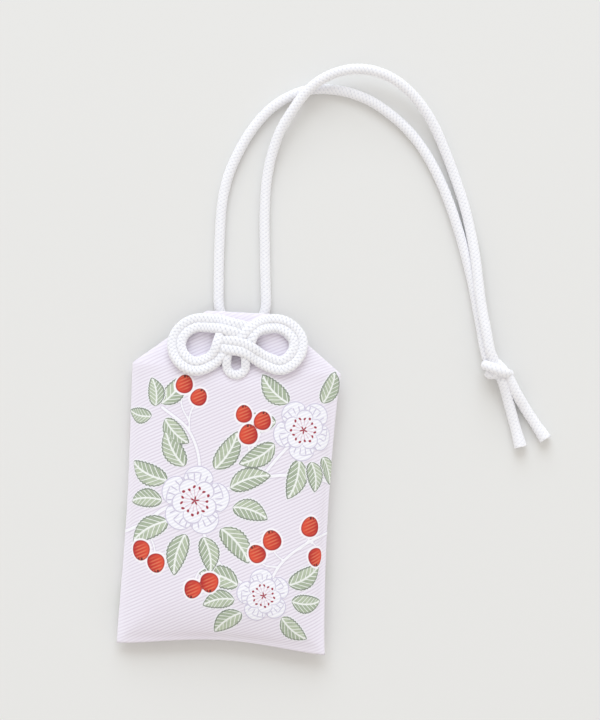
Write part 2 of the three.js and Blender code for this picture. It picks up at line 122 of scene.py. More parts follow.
def smooth(points, reach):
    """The line with its small kinks taken out, its two ends kept."""
    span = np.linalg.norm(points[1] - points[0])
    n = max(1, round(3 * reach / span))
    weights = np.exp(-0.5 * (np.arange(-n, n + 1) * span / reach) ** 2)
    weights /= weights.sum()
    before = 2 * points[0] - points[n:0:-1]
    after = 2 * points[-1] - points[-2:-n - 2:-1]
    padded = np.vstack((before, points, after))
    return np.stack([np.convolve(padded[:, k], weights, "valid") for k in range(3)], 1)


def frames(points):
    """Two normals at each point of a line, turned as little as possible along it."""
    tangents = np.gradient(points, axis=0)
    tangents /= np.linalg.norm(tangents, axis=1)[:, None]
    first = np.cross(tangents[0], (0, 0, 1))
    if np.linalg.norm(first) < 0.1:
        first = np.cross(tangents[0], (0, 1, 0))
    normals = [first / np.linalg.norm(first)]
    for t in tangents[1:]:
        n = normals[-1] - t * (normals[-1] @ t)
        normals.append(n / np.linalg.norm(n))
    normals = np.array(normals)
    return normals, np.cross(tangents, normals)


# Meshes

def mesh_object(name, points, faces):
    """A mesh piece from points in millimetres."""
    mesh = bpy.data.meshes.new(name)
    mesh.from_pydata((np.asarray(points) * MM).tolist(), [], faces)
    mesh.update()
    mesh.polygons.foreach_set("use_smooth", [True] * len(mesh.polygons))
    piece = bpy.data.objects.new(name, mesh)
    scene.collection.objects.link(piece)
    return piece


def set_values(mesh, name, values):
    """A number for each point of a mesh, for its material."""
    attribute = mesh.attributes.new(name, "FLOAT", "POINT")
    attribute.data.foreach_set("value", np.asarray(values, np.float32))


def braid(around, along):
    """Height from 0 to 1 of a round braid's strands, over and under each other."""
    a = around * BRAID_CARRIERS + along / BRAID_PITCH
    b = around * BRAID_CARRIERS - along / BRAID_PITCH
    over = (np.floor(a) + np.floor(b)) % 2 < 1
    sa = np.abs(np.sin(np.pi * a))
    sb = np.abs(np.sin(np.pi * b))
    return np.where(over, sa**0.8 * sb**0.4, sa**0.4 * sb**0.8)


def twist(around, along):
    """Height from 0 to 1 of a two-ply thread."""
    return 0.5 + 0.5 * np.cos(4 * np.pi * around - 2 * np.pi * along / THREAD_TWIST)


def braided(lines, radius=CORD_RADIUS, round_ends=(True, True), surface=braid,
            relief=BRAID_RELIEF, sides=RING_SIDES, step=RING_STEP, fullness=None, square=2.0):
    """Points, faces and surface heights of braided tubes along lines, each closed at both ends.

    Fullness gives factors of the radius along a line. A square above 2 makes the section squarish.
    """
    points, faces, heights = [], [], []
    around = np.arange(sides) / sides
    angle = 2 * np.pi * around
    cosine, sine = np.cos(angle), np.sin(angle)
    section = (np.abs(cosine) ** square + np.abs(sine) ** square) ** (-1 / square)
    total = 0
    for line in lines:
        line = even(line, step)
        count = len(line)
        n1, n2 = frames(line)
        along = step * np.arange(count)
        h = surface(around[None, :], along[:, None])
        full = fullness(line)[:, None] if fullness else 1
        r = radius * full * section[None, :] + relief * (h - CREST_SHARE)
        for is_round, from_end in zip(round_ends, (along, along[::-1])):
            if is_round:
                depth = np.minimum(1, from_end / radius)
                r = r * np.sqrt(np.clip(1 - (1 - depth) ** 2, LEAST_RING, 1))[:, None]
        aside = cosine[None, :, None] * n1[:, None, :] + sine[None, :, None] * n2[:, None, :]
        ring = line[:, None, :] + r[..., None] * aside
        points += [ring.reshape(-1, 3), line[:1], line[-1:]]
        heights += [h.ravel(), [CUT_SHADE, CUT_SHADE]]
        index = np.arange(count * sides).reshape(count, sides) + total
        turned = np.roll(index, -1, 1)
        sleeve = np.stack((index[:-1], turned[:-1], turned[1:], index[1:]), -1)
        faces += sleeve.reshape(-1, 4).tolist()
        first, last = total + count * sides, total + count * sides + 1
        faces += [[first, b, a] for a, b in zip(index[0], turned[0])]
        faces += [[last, a, b] for a, b in zip(index[-1], turned[-1])]
        total += count * sides + 2
    return np.vstack(points), faces, np.concatenate(heights)


def cord_piece(name, lines, pale=0.0, **shape):
    """A piece of braided cord; pale is how far the painted shade of its grooves is taken back."""
    points, faces, heights = braided(lines, **shape)
    piece = mesh_object(name, points, faces)
    set_values(piece.data, "braid", pale + (1 - pale) * heights)
    piece.data.materials.append(cord_material)
    return piece


# Materials

class Nodes:
    """A material's nodes, made and linked in one line each."""

    def __init__(self, name):
        self.material = bpy.data.materials.new(name)
        self.material.use_nodes = True
        self.tree = self.material.node_tree
        self.shader = self.tree.nodes["Principled BSDF"]

    def add(self, kind, inputs=(), **settings):
        node = self.tree.nodes.new("ShaderNode" + kind)
        for key, value in settings.items():
            setattr(node, key, value)
        for key, value in dict(inputs).items():
            self.put(node.inputs[key], value)
        return node

    def put(self, socket, value):
        if isinstance(value, bpy.types.NodeSocket):
            self.tree.links.new(value, socket)
        elif value is not None:
            socket.default_value = value

    def math(self, operation, a, b=None, c=None):
        return self.add("Math", {0: a, 1: b, 2: c}, operation=operation).outputs[0]

    def value(self, name, output="Fac"):
        return self.add("Attribute", attribute_name=name).outputs[output]

    def ramp(self, value, low, high, to_low=0.0, to_high=1.0):
        inputs = {"Value": value, "From Min": low, "From Max": high,
                  "To Min": to_low, "To Max": to_high}
        return self.add("MapRange", inputs).outputs[0]

    def mix(self, share, a, b):
        node = self.add("Mix", {"Factor": share}, data_type="RGBA")
        self.put(node.inputs[6], a)
        self.put(node.inputs[7], b)
        return node.outputs[2]

    def noise(self, scale, detail=2.0, vector=None):
        node = self.add("TexNoise", {"Scale": scale, "Detail": detail})
        self.put(node.inputs["Vector"], vector or self.add("TexCoord").outputs["Object"])
        return node.outputs["Fac"]

    def bump(self, height, distance, strength=1.0):
        node = self.add("Bump", {"Height": height, "Distance": distance, "Strength": strength})
        self.put(self.shader.inputs["Normal"], node.outputs["Normal"])

    def set(self, **values):
        for name, value in values.items():
            self.put(self.shader.inputs[name.replace("_", " ")], value)
        return self.material


def make_cord_material():
    """White braid, matt as fibres are, a little darker in its grooves, where shade is painted."""
    m = Nodes("braided_cord")
    # Painted shade: where the braid's height is low, in its grooves and gaps, the white turns grey.
    painted_groove_shade = m.ramp(m.value("braid"), 0.0, 0.5)
    fibre = m.noise(2600, 3)
    shade = m.mix(painted_groove_shade, srgb(205, 207, 216), srgb(249, 249, 252))
    colour = m.mix(m.ramp(fibre, 0.35, 0.75, 0, 0.15), shade, srgb(240, 241, 247))
    m.bump(fibre, 0.00004, 0.6)
    return m.set(Base_Color=colour, Roughness=0.62, Diffuse_Roughness=1.0, Sheen_Weight=0.1,
                 Sheen_Roughness=0.4, Specular_IOR_Level=0.25, Subsurface_Weight=0.3,
                 Subsurface_Radius=(1, 1, 1), Subsurface_Scale=0.0004)


cord_material = make_cord_material()


# Hanging loop: each strand is one cord from its hole in the pouch to the end knot

def at_loop(points):
    """Points of the loop's routes, measured from the pouch's top edge and from the cord's level."""
    return [(p[0], TOP_EDGE + p[1], CORD_LEVEL + (p[2] if len(p) > 2 else 0)) for p in points]


def upright_turn(angle):
    """The matrix of a turn about the upright axis."""
    c, s = math.cos(angle), math.sin(angle)
    return np.array(((c, -s, 0), (s, c, 0), (0, 0, 1)))


def at_knot(points):
    """Points given along and across the end knot, put in its place."""
    return np.array(points, float) @ upright_turn(KNOT_TURN).T + KNOT_PLACE


LEFT_BEND, RIGHT_BEND = at_loop([(40.65, 30.2), (43.46, 31.7)])
left_route = at_loop([
    (HOLES[0][0], -6.05), (-2.9, -3.2), (-4.45, 0.3), (-4.83, 4.4), (-5.08, 9.9), (-5.23, 15.8),
    (-5.17, 22.1), (-4.43, 27.7), (-2.72, 32.8), (-0.17, 38), (3.45, 42.9), (7.49, 46.05),
    (12.02, 47.9), (17.91, 48.1), (23.9, 46.7), (29.56, 43.5), (33.99, 39.8), (37.62, 35.3),
    (40.65, 30.2), (43.06, 25.1), (45.35, 19.3), (47.4, 13.3), (48.98, 7.9), (50.2, 2.9, 0.1),
    (51.2, -1.2, 0.4),
])
right_route = at_loop([
    (HOLES[1][0], -6.05), (3.5, -3.2), (5.3, 0.5), (5.11, 5), (4.67, 10.5), (4.25, 16.3),
    (3.94, 21.8), (3.98, 28.1, 0.1), (4.73, 33.4, 0.5), (6.23, 38.6, 1.3), (8.51, 42.9, 2.1),
    (11.62, 47.55, 2.6), (15.45, 50.6, 3), (20, 52.3, 3.3), (24.84, 52.4, 3.4), (29.57, 50.8, 3.1),
    (33.75, 47.8, 2.4), (37.59, 43.3, 1.4), (40.88, 37.4, 0.4), (43.46, 31.7), (46.1, 25.05, 0.1),
    (47.85, 19, 0.5), (49.15, 13.4, 1.2), (50.05, 8, 1.7), (51.0, 3, 2.1), (52.1, -1.2, 2.6),
])
left_route += at_knot([(-3.5, -0.75, -1.0), (-2.2, -1.0, -0.95), (-0.5, -0.8, -0.9)]).tolist()
right_route += at_knot([(-3.5, 0.2, 0.9), (-2, 0.05, 0.6), (-0.2, 0.2, 0)]).tolist()
# Aslant to the strands, so that their starts beside the pouch stay on the near side of the bend
STRAND_SMOOTHING = 1.2

for name, route, bend in (("left", left_route, LEFT_BEND), ("right", right_route, RIGHT_BEND)):
    line = smooth(spline(route), STRAND_SMOOTHING)
    strand = cord_piece(f"strand_{name}", [line], pale=0.1)
    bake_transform(strand)
    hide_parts(f"strand_{name}_near", f"strand_{name}_far")

# End knot: the two strands go through it, a band crosses over them and a second turn shows at its
# sides

def ring(centre, direction, reach, height):
    """An upright, oval turn of cord, whose long axis lies along a direction."""
    turn = np.linspace(0, 2 * np.pi, 60)
    flat = np.array((*direction, 0.0)) / np.hypot(*direction)
    return (np.array(centre) + reach * np.cos(turn)[:, None] * flat
            + height * np.sin(turn)[:, None] * np.array((0, 0, 1.0)))


knot_lines = [
    at_knot(ring((0.6, -0.25, 0), (0.758, 0.652), 2.4, 1.95)),
    at_knot(ring((1.75, -0.15, -0.5), (0.48, 0.875), 2.05, 1.2)),
    at_knot(spline([(-1.2, -0.8, -0.9), (0.2, -0.6, -0.1), (1.6, -0.4, 0.4), (2.9, -0.3, 0.35)])),
    at_knot(spline([(-1.2, 0.1, 0.3), (0.2, 0.6, 0.3), (1.8, 1.0, 0.4), (3.2, 1.15, 0.2)])),
]
knot = cord_piece("end_knot_cord", knot_lines, round_ends=(False, False), pale=0.12)
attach(knot, "loop_far")
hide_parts("end_knot")

# Tails, cut and sealed
tail_routes = {
    "left": [*at_knot([(1.9, -0.36, 0.42), (3.0, -0.25, 0.3)]),
             *at_loop([(56.95, -13.5, 1.3), (58.2, -17.2, 0.4), (59.5, -21, 0.05),
                       (60.83, -25.02, 0.2)])],
    "right": [*at_knot([(2.2, 1.05, 0.4), (3.6, 1.2, 0.1)]),
              *at_loop([(59.2, -13.7, 1.4), (61.3, -16.8, 0.4), (63.6, -19.9, 0.05),
                        (65.97, -23.04, 0.2)])],
}
TAIL_RADIUS = 1.09
TAIL_FLARE = 0.18


def flared(line):
    """A tail's fullness along its line: it opens out a little at its cut end."""
    return 1 + TAIL_FLARE * smoothstep(np.linspace(-3, 1, len(line)))


for name, route in tail_routes.items():
    tail = cord_piece(f"cord_tail_{name}", [spline(route)], pale=0.15, radius=TAIL_RADIUS,
                      fullness=flared, round_ends=(True, False))
    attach(tail, f"{name}_tail")
    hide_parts(f"tail_{name}")

# Bow: its own plane leans with the cloth, and its turns lie in that plane

def at_bow(points):
    """Points given in the bow's plane, put in their place on the pouch."""
    c, s = math.cos(-BOW_LEAN), math.sin(-BOW_LEAN)
    lean = np.array(((1, 0, 0), (0, c, -s), (0, s, c)))
    return np.array(points, float) @ (lean @ upright_turn(BOW_TURN)).T + BOW_PLACE


TURN_PITCH = 1.87
TURN_RADIUS = 1.01
TIED = {"relief": 0.07, "square": 2.8}
PRESSED_FULL, PRESSED_FROM, PRESSED_REACH = 0.07, 3.5, 2.5
TURN_SMOOTHING = 0.3


def pressed(line):
    """The cord's fullness along a line: the runs fill the woven centre and are pressed together."""
    out = np.linalg.norm(line - BOW_PLACE, axis=1)
    return 1 + PRESSED_FULL - PRESSED_FULL * smoothstep((out - PRESSED_FROM) / PRESSED_REACH)


def inside(points, distance):
    """A line beside another one, on its left, in the bow's plane."""
    t = np.gradient(points, axis=0)
    t /= np.linalg.norm(t, axis=1)[:, None]
    return points + distance * np.stack((-t[:, 1], t[:, 0], 0 * t[:, 0]), 1)


# The loops are let down onto the cloth, and the centre, where runs lie on each other, stays higher.
# Each drop starts at a distance from the middle and grows over a reach.
CENTRE_DROP, LOOP_DROP, END_DROP, SMALL_DROP = 0.2, 0.9, 0.4, 0.55
LOOP_FROM, LOOP_REACH = 2.5, 5
END_FROM, END_REACH = 10.5, 4
SMALL_FROM, SMALL_REACH, SMALL_ASIDE = 3, 3, 4


def settled(points):
    """Points of the bow's plane, lowered to where the cord lies."""
    points = np.array(points, float)
    out = np.hypot(points[:, 0], points[:, 1])
    aside = np.abs(points[:, 0])
    small = smoothstep((-SMALL_FROM - points[:, 1]) / SMALL_REACH) * smoothstep(SMALL_ASIDE - aside)
    drop = (CENTRE_DROP + LOOP_DROP * smoothstep((out - LOOP_FROM) / LOOP_REACH)
            + END_DROP * smoothstep((aside - END_FROM) / END_REACH) + SMALL_DROP * small)
    return points - np.outer(drop, (0, 0, 1))


# Each side: its outer turn, and the runs of both turns through the woven centre. A run rises where
# it goes over its neighbours, and its end is tucked under the next one.
BOW_SIDES = (
    ("left", TURN_PITCH,
     ((-6, 4.85), (-7.4, 5.02), (-8.9, 4.9), (-10.8, 4.1), (-12.5, 2.6), (-13.5, 0.7),
      (-13.62, -1.3), (-12.9, -3.4), (-11.3, -5.2), (-9.2, -6.13), (-7.4, -6.0), (-6.1, -5.5)),
     ((3.4, 2.4, -0.5), (2.6, 2.8, -0.25), (1.6, 3.1, 0.05), (0.3, 3.45, 0.2), (-1.2, 3.8, 0.25),
      (-2.3, 4.2, 0.2), (-3.3, 4.65, 0.1), (-4.5, 4.82, 0)),
     ((-4.9, -4.75, 0), (-3.9, -3.85, -0.05), (-3.1, -2.9, -0.2), (-2.4, -1.9, -0.45),
      (-2.0, -1.2, -0.55)),
     ((2.4, 0.7, -0.5), (1.3, 1.15, -0.2), (0, 1.55, 0.2), (-1.2, 1.9, 0.45), (-2.2, 2.15, 0.55),
      (-3.2, 2.45, 0.55), (-4.2, 2.72, 0.3)),
     ((-5.3, -2.95, 0.1), (-4.5, -1.8, 0.3), (-4.0, -0.4, 0.4), (-3.6, 0.9, 0.2),
      (-3.25, 1.7, -0.05), (-2.9, 2.8, -0.35))),
    ("right", -TURN_PITCH,
     ((6, 4.6), (7.4, 4.82), (8.9, 4.72), (10.8, 4.0), (12.5, 2.55), (13.6, 0.7), (13.72, -1.3),
      (12.9, -3.4), (11.3, -5.15), (9.2, -6.05), (7.4, -5.75), (6.1, -5.15)),
     ((-0.5, -1.0, -0.55), (0.1, -0.3, -0.2), (0.65, 0.35, 0.2), (1.9, 1.8, 0.5),
      (3.05, 3.05, 0.45), (4.3, 3.95, 0.2)),
     ((4.8, -4.5, 0), (3.4, -3.6, 0.05), (2.0, -2.75, 0.2), (0.6, -2.2, 0.35), (-0.8, -1.98, 0.35),
      (-2.2, -1.75, 0.15), (-3.2, -1.5, -0.15), (-4.0, -1.2, -0.4)),
     ((2.0, -2.2, -0.55), (2.35, -1.4, -0.4), (2.7, -0.5, 0), (3.05, 0.5, 0.3), (3.7, 1.65, 0.25),
      (4.9, 2.4, 0.1)),
     ((5.4, -2.9, 0), (3.9, -2.0, 0.2), (2.4, -1.1, 0.45), (0.9, -0.45, 0.55), (-0.8, -0.1, 0.5),
      (-2.1, 0.05, 0.2), (-3.2, 0.2, -0.15), (-4.0, 0.3, -0.4))),
)
for name, pitch, turn, outer_start, outer_end, inner_start, inner_end in BOW_SIDES:
    outer_line = spline([(x, y, 0) for x, y in turn])
    inner_line = even(inside(outer_line, pitch), 0.3)
    lines = [at_bow(settled(smooth(spline(route), TURN_SMOOTHING))) for route in (
        [*outer_start, *outer_line[::5], *outer_end],
        [*inner_start, *inner_line[2:-2:5], *inner_end])]
    turns = cord_piece(f"bow_{name}_turns", lines, radius=TURN_RADIUS, fullness=pressed, **TIED)
    way = math.copysign(1, turn[0][0])
    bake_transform(turns)
    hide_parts(f"bow_{name}_outer", f"bow_{name}_inner")

# Small loop, whose legs go up under the centre
LOOP_CORD = 0.92
LOOP_RADIUS = 2.0
LOOP_X = -0.22
LOOP_Y = -4.95
leg = ((1.1, -0.9, -0.6), (1.6, -2.3, -0.45), (1.92, -3.7, -0.15))
other_leg = [(-x, y, z) for x, y, z in leg[::-1]]
arc = [(LOOP_RADIUS * math.cos(a), LOOP_Y + LOOP_RADIUS * math.sin(a), 0)
       for a in np.linspace(0, -math.pi, 13)]
loop_points = [(LOOP_X + x, y, z) for x, y, z in (*leg, *arc, *other_leg)]
loop_line = at_bow(settled(smooth(spline(loop_points), TURN_SMOOTHING)))
small = cord_piece("bow_small_loop_cord", [loop_line], radius=LOOP_CORD, **TIED)
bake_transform(small)
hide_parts("bow_small_loop")

# The turn behind the centre that holds the runs together
HOLD_WIDE, HOLD_TALL, HOLD_UP, HOLD_LEVEL = 2.1, 1.5, 0.9, -0.95
holding = [(HOLD_WIDE * math.cos(a), HOLD_UP + HOLD_TALL * math.sin(a), HOLD_LEVEL)
           for a in np.linspace(0, 2 * math.pi, 33)]
core = cord_piece("bow_centre_cord", [at_bow(settled(spline(holding)))],
                  round_ends=(False, False), **TIED)
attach(core, "pouch")
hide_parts("bow_centre")

# Cord through the pouch's mouth
THROUGH_LEVELS = (1.1, 3.5, 6.2)
for name, (x, y) in zip(("left", "right"), HOLES):
    through = cord_piece(f"cord_through_{name}", [spline([(x, y, z) for z in THROUGH_LEVELS])])
    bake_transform(through)
    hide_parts(f"cord_pass_{name}")

# Pouch: front and back cloth, sewn along its edge and blown up by a cloth simulation. A draw is how
# far an edge stands in at its middle, and the power that shapes it.
HALF_WIDTH = 22.0
SHOULDER = 23.7
MOUTH_HALF = 7.0
SIDE_EASE = 1.0
SHOULDER_SLANT = 0.62
SLACK, SLACK_REACH = 0.6, 4
LEFT_DRAW, RIGHT_DRAW, BOTTOM_DRAW = (0.55, 1.5), (1.1, 0.7), (1.9, 1.5)
SEAM_LEVEL = 3.5
LEFT_SAG = 0.9
FRONT_RISE = 3.75
BACK_RISE = 3.45
FRONT_MOUTH, BACK_MOUTH = 1.5, 1.05
MOUTH_FLAT = 28.5
MOUTH_SLOPE = 9.0
BOTTOM_REACH, TOP_REACH = 12, 6
LEAST_DEPTH = 0.01
CLOTH_OFF_TABLE = 0.02
EDGE_ROUND = 5.0
CROWN_WIDTH = 13.0
INSERT_HALF = 15.0
INSERT_BOTTOM, INSERT_TOP = -27.7, 18.3
COLUMNS = 40
BODY_ROWS = 55
SHOULDER_ROWS = 12
SIM_SCALE = 20
SIM_FRAMES = 6
PRESSURE = 4.0
CLOTH_SHARE = 0.35
CORNER_CREASE, SEAM_CREASE = 0.6, 0.55


def half_width(v):
    """Half the cut's width at a height: the sides are full, because the padding draws them in."""
    middle = (SHOULDER - TOP_EDGE) / 2
    span = (SHOULDER + TOP_EDGE) / 2
    body = HALF_WIDTH + SIDE_EASE * (1 - ((v - middle) / span) ** 2)
    return np.where(v <= SHOULDER, body, shoulder_half(v))


def shoulder_half(v):
    """Half the width at a height above the shoulders."""
    return HALF_WIDTH + (MOUTH_HALF - HALF_WIDTH) * (v - SHOULDER) / (TOP_EDGE - SHOULDER)


def drawn_in(share, draw):
    """How far an edge of the filled pouch stands in from the line between its corners."""
    return draw[0] * np.sin(np.pi * np.clip(share, 0, 1)) ** draw[1]


def side_edge(y, draw):
    """Half the filled pouch's width at a height, on one side."""
    body = HALF_WIDTH - drawn_in((y + TOP_EDGE) / (SHOULDER + TOP_EDGE), draw)
    return np.where(y <= SHOULDER, body, shoulder_half(y))


def inflate(points, faces, pins):
    """The points of a cloth bag after a short simulation under pressure, at a larger scale."""
    bag = mesh_object("bag", points * SIM_SCALE, faces)
    group = bag.vertex_groups.new(name="pins")
    group.add([int(i) for i in pins], 1.0, "REPLACE")
    cloth = bag.modifiers.new("cloth", "CLOTH").settings
    cloth.use_pressure = True
    cloth.uniform_pressure_force = PRESSURE
    cloth.effector_weights.gravity = 0
    cloth.tension_stiffness = 40
    cloth.compression_stiffness = 20
    cloth.shear_stiffness = 10
    cloth.bending_stiffness = 2
    cloth.quality = 8
    cloth.vertex_group_mass = "pins"
    for step in range(1, SIM_FRAMES + 1):
        scene.frame_set(step)
    shaped = bag.evaluated_get(bpy.context.evaluated_depsgraph_get()).to_mesh()
    co = np.zeros(len(shaped.vertices) * 3)
    shaped.vertices.foreach_get("co", co)
    bpy.data.objects.remove(bag)
    scene.frame_set(1)
    return co.reshape(-1, 3) / (MM * SIM_SCALE)


def capped(height, limit):
    """A height that levels off smoothly under a limit."""
    return height / (1 + (height / limit) ** 6) ** (1 / 6)


def dome(distance):
    """The back's edge and the mouth: a quarter ellipse from the seam to the level cloth."""
    return np.sqrt(1 - (1 - np.clip(distance / EDGE_ROUND, 0, 1)) ** 2)


def swell(distance):
    """The front's crown: a quarter wave from the seam to the level part over the wadding."""
    return np.sin(np.pi / 2 * np.clip(distance / CROWN_WIDTH, 0, 1))


def quads(index, flipped):
    """The faces of a grid of points."""
    corners = [index[:-1, :-1], index[:-1, 1:], index[1:, 1:], index[1:, :-1]]
    return np.stack(corners[::-1] if flipped else corners, -1).reshape(-1, 4).tolist()


rows = np.concatenate((np.linspace(-TOP_EDGE, SHOULDER, BODY_ROWS),
                       np.linspace(SHOULDER, TOP_EDGE, SHOULDER_ROWS)[1:]))
across = np.linspace(-1, 1, COLUMNS + 1)
flat_v, share = np.meshgrid(rows, across, indexing="ij")
flat_u = half_width(flat_v) * share
on_seam = np.zeros(flat_u.shape, bool)
on_seam[[0, -1]] = True
on_seam[:, [0, -1]] = True
front_index = np.arange(flat_u.size).reshape(flat_u.shape)
back_index = front_index.copy()
back_index[~on_seam] = flat_u.size + np.arange((~on_seam).sum())
side_depth = half_width(flat_v) - np.abs(flat_u)
side_depth *= np.where(flat_v > SHOULDER, SHOULDER_SLANT, 1)
end_depth = np.minimum(flat_v + TOP_EDGE, TOP_EDGE - flat_v)
depth = np.minimum(side_depth, end_depth)
soft_depth = sum(np.maximum(d, LEAST_DEPTH) ** -4 for d in (side_depth, end_depth)) ** -0.25
slack = SLACK * np.clip(depth / SLACK_REACH, 0, 1)
cut = np.vstack((np.stack((flat_u, flat_v, slack), -1).reshape(-1, 3),
                 np.stack((flat_u, flat_v, -slack), -1)[~on_seam]))
bag_faces = quads(front_index, False) + quads(back_index, True)
corner_rows = (0, BODY_ROWS - 1, len(rows) - 1)
pins = [front_index[r, c] for r in corner_rows for c in (0, -1)]
blown = inflate(cut, bag_faces, pins)


def fitted(grid):
    """One side of the pouch with its edge on the outline that the real one shows."""
    x, y = grid[..., 0].copy(), grid[..., 1].copy()
    bottom = -TOP_EDGE + drawn_in((x[0] + HALF_WIDTH) / (2 * HALF_WIDTH), BOTTOM_DRAW)
    y += (bottom - y[0]) * np.clip(1 - (rows - rows[0]) / BOTTOM_REACH, 0, 1)[:, None] ** 2
    y += (TOP_EDGE - y[-1]) * np.clip(1 - (rows[-1] - rows) / TOP_REACH, 0, 1)[:, None] ** 2
    left = -side_edge(y[:, 0], LEFT_DRAW) - x[:, 0]
    right = side_edge(y[:, -1], RIGHT_DRAW) - x[:, -1]
    x += left[:, None] * ((1 - across) / 2) ** 3 + right[:, None] * ((1 + across) / 2) ** 3
    return np.stack((x, y, grid[..., 2]), -1)


def filled(grid, side, rise, mouth_rise):
    """One side of the pouch at its height: padded up to its edge, low at the mouth."""
    x, y, up = grid[..., 0], grid[..., 1], np.maximum(side * grid[..., 2], 0)
    body = smoothstep((MOUTH_FLAT - y) / MOUTH_SLOPE)
    limit = mouth_rise + (rise - mouth_rise) * body
    up = capped(up, limit)
    shape = dome(depth) if side < 0 else (1 - body) * dome(depth) + body * swell(soft_depth)
    up = np.where(on_seam, 0, CLOTH_SHARE * up * shape ** 0.5 + (1 - CLOTH_SHARE) * limit * shape)
    level = SEAM_LEVEL - LEFT_SAG * ((1 - across) / 2) ** 6
    return np.stack((x, y, np.maximum(level + side * up, CLOTH_OFF_TABLE)), -1)


front_grid = filled(fitted(blown[front_index]), 1, FRONT_RISE, FRONT_MOUTH)
back_grid = filled(fitted(blown[back_index]), -1, BACK_RISE, BACK_MOUTH)
shaped = np.vstack((front_grid.reshape(-1, 3), back_grid[~on_seam]))
pouch = mesh_object("pouch_cloth", shaped, bag_faces)
set_values(pouch.data, "flat_u", cut[:, 0])
set_values(pouch.data, "flat_v", cut[:, 1])
set_values(pouch.data, "side", np.where(np.arange(len(cut)) < flat_u.size, 1.0, -1.0))
set_values(pouch.data, "depth", np.concatenate((depth.ravel(), depth[~on_seam])))
crease = np.zeros(len(cut))
crease[pins] = CORNER_CREASE
set_values(pouch.data, "crease_vert", crease)
seam_points = np.zeros(len(cut), bool)
seam_points[:flat_u.size] = on_seam.ravel()
ends = np.zeros(len(pouch.data.edges) * 2, int)
pouch.data.edges.foreach_get("vertices", ends)
seam_edges = pouch.data.attributes.new("crease_edge", "FLOAT", "EDGE")
both_on_seam = seam_points[ends.reshape(-1, 2)].all(1).astype(np.float32)
seam_edges.data.foreach_set("value", SEAM_CREASE * both_on_seam)
pouch.modifiers.new("fine", "SUBSURF").levels = 2
evaluated = pouch.evaluated_get(bpy.context.evaluated_depsgraph_get())
fine = bpy.data.meshes.new_from_object(evaluated)
pouch.modifiers.clear()
pouch.data = fine
fine.name = "pouch_cloth"
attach(pouch, "pouch")
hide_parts("front_panel", "back_panel")

# Woven design in millimetres on the flat cloth. Blossoms: place, radius and turn. Leaves: place of
# the stalk, direction in degrees, length and width. Berries: place and radius. Twigs: half width
# and route, where a thin one ends at its berry.
BLOSSOMS = ((-7.0, -4.5, 7.4, 0.2), (15.0, 11.5, 6.6, 0.9), (8.5, -23.5, 5.8, 0.5))
UNDER_LEAVES = (
    (-13.0, -0.6, 156, 9.0, 4.6), (-12.4, -9.0, 214, 9.0, 4.6), (-8.6, -11.6, 258, 9.0, 4.4),
    (-1.2, -10.0, 312, 9.4, 4.8), (0.2, -1.4, 20, 9.0, 4.6), (-3.2, 2.4, 62, 9.2, 4.6),
    (-9.6, 2.6, 120, 8.6, 4.4), (9.0, 8.2, 212, 8.6, 4.4), (11.4, 17.0, 136, 8.2, 4.4),
    (14.4, 5.2, 256, 8.6, 4.4), (18.8, 17.4, 75, 7.2, 4.0), (19.6, 6.0, 300, 6.6, 3.8),
    (3.0, -21.6, 166, 8.6, 4.6), (4.0, -27.4, 222, 7.4, 4.2), (13.8, -21.0, 34, 8.0, 4.4),
    (12.6, -28.0, 322, 7.0, 4.0), (-15.2, 15.4, 55, 8.0, 4.2), (-17.2, 12.6, 168, 5.6, 3.4),
    (-14.2, 12.2, 318, 7.2, 4.0),
)
OVER_LEAVES = (
    (-13.8, -4.8, 186, 7.2, 4.0), (-4.8, -12.0, 284, 7.6, 4.2), (1.0, -5.4, 344, 7.8, 4.4),
    (9.0, 12.8, 172, 7.2, 4.0), (17.0, 4.9, 280, 6.4, 3.8), (2.4, -24.6, 194, 6.8, 4.0),
    (14.6, -24.4, 2, 6.6, 4.0), (-16.4, 14.8, 102, 6.2, 3.6),
)
BERRIES = (
    (3.4, 10.0, 1.95), (6.2, 13.0, 1.8), (2.2, 14.2, 1.7), (-17.8, -15.6, 1.95),
    (-14.4, -18.0, 1.85), (17.6, -8.6, 1.95), (19.4, -15.0, 1.8), (-3.0, -21.4, 1.9),
    (-6.4, -23.0, 1.8), (-10.6, 19.8, 1.8), (-7.4, 17.2, 1.7), (9.6, -11.8, 1.95),
    (6.6, -14.8, 1.8),
)
TWIGS = (
    (0.36, ((24, 0.6), (14, 2.0), (6.5, 1.0), (0, -1.5), (-7, -4.5))),
    (0.36, ((-7, -4.5), (-13, -6.4), (-18, -10.2), (-24, -12.4))),
    (0.32, ((6.5, 1.0), (9.5, 5.0), (15, 11.5))),
    (0.32, ((-7, -4.5), (-4.4, -12), (-1.0, -17.4), (3, -20.6), (8.5, -23.5))),
    (0.32, ((-7, -4.5), (-6.6, 4), (-9.4, 10.4), (-15, 14.6))),
    (0.3, ((8.5, -23.5), (12, -16.4), (18, -11.6), (24, -9.6))),
    (0.22, ((1.4, -0.8), (3.6, 4.6), (3.4, 10.0))),
    (0.22, ((3.6, 6.0), (5.6, 9.4), (6.2, 13.0))),
    (0.22, ((3.5, 8), (2.5, 11.2), (2.2, 14.2))),
    (0.22, ((-17, -9.4), (-18, -12), (-17.8, -15.6))),
    (0.22, ((-17.4, -10.8), (-15.2, -14), (-14.4, -18.0))),
    (0.22, ((-1.8, -16.4), (-3.2, -18), (-3.0, -21.4))),
    (0.22, ((-3, -17.6), (-5.4, -19.4), (-6.4, -23.0))),
    (0.22, ((-9, 10), (-9, 13.6), (-7.4, 17.2))),
    (0.22, ((-9.2, 12), (-11, 15.6), (-10.6, 19.8))),
    (0.22, ((12.4, -16), (10.4, -14.4), (9.6, -11.8))),
    (0.22, ((11, -17.4), (8.2, -17), (6.6, -14.8))),
    (0.22, ((15.6, -13.4), (17.4, -11.4), (17.6, -8.6))),
    (0.22, ((17.6, -11.8), (19.2, -12.6), (19.4, -15.0))),
)
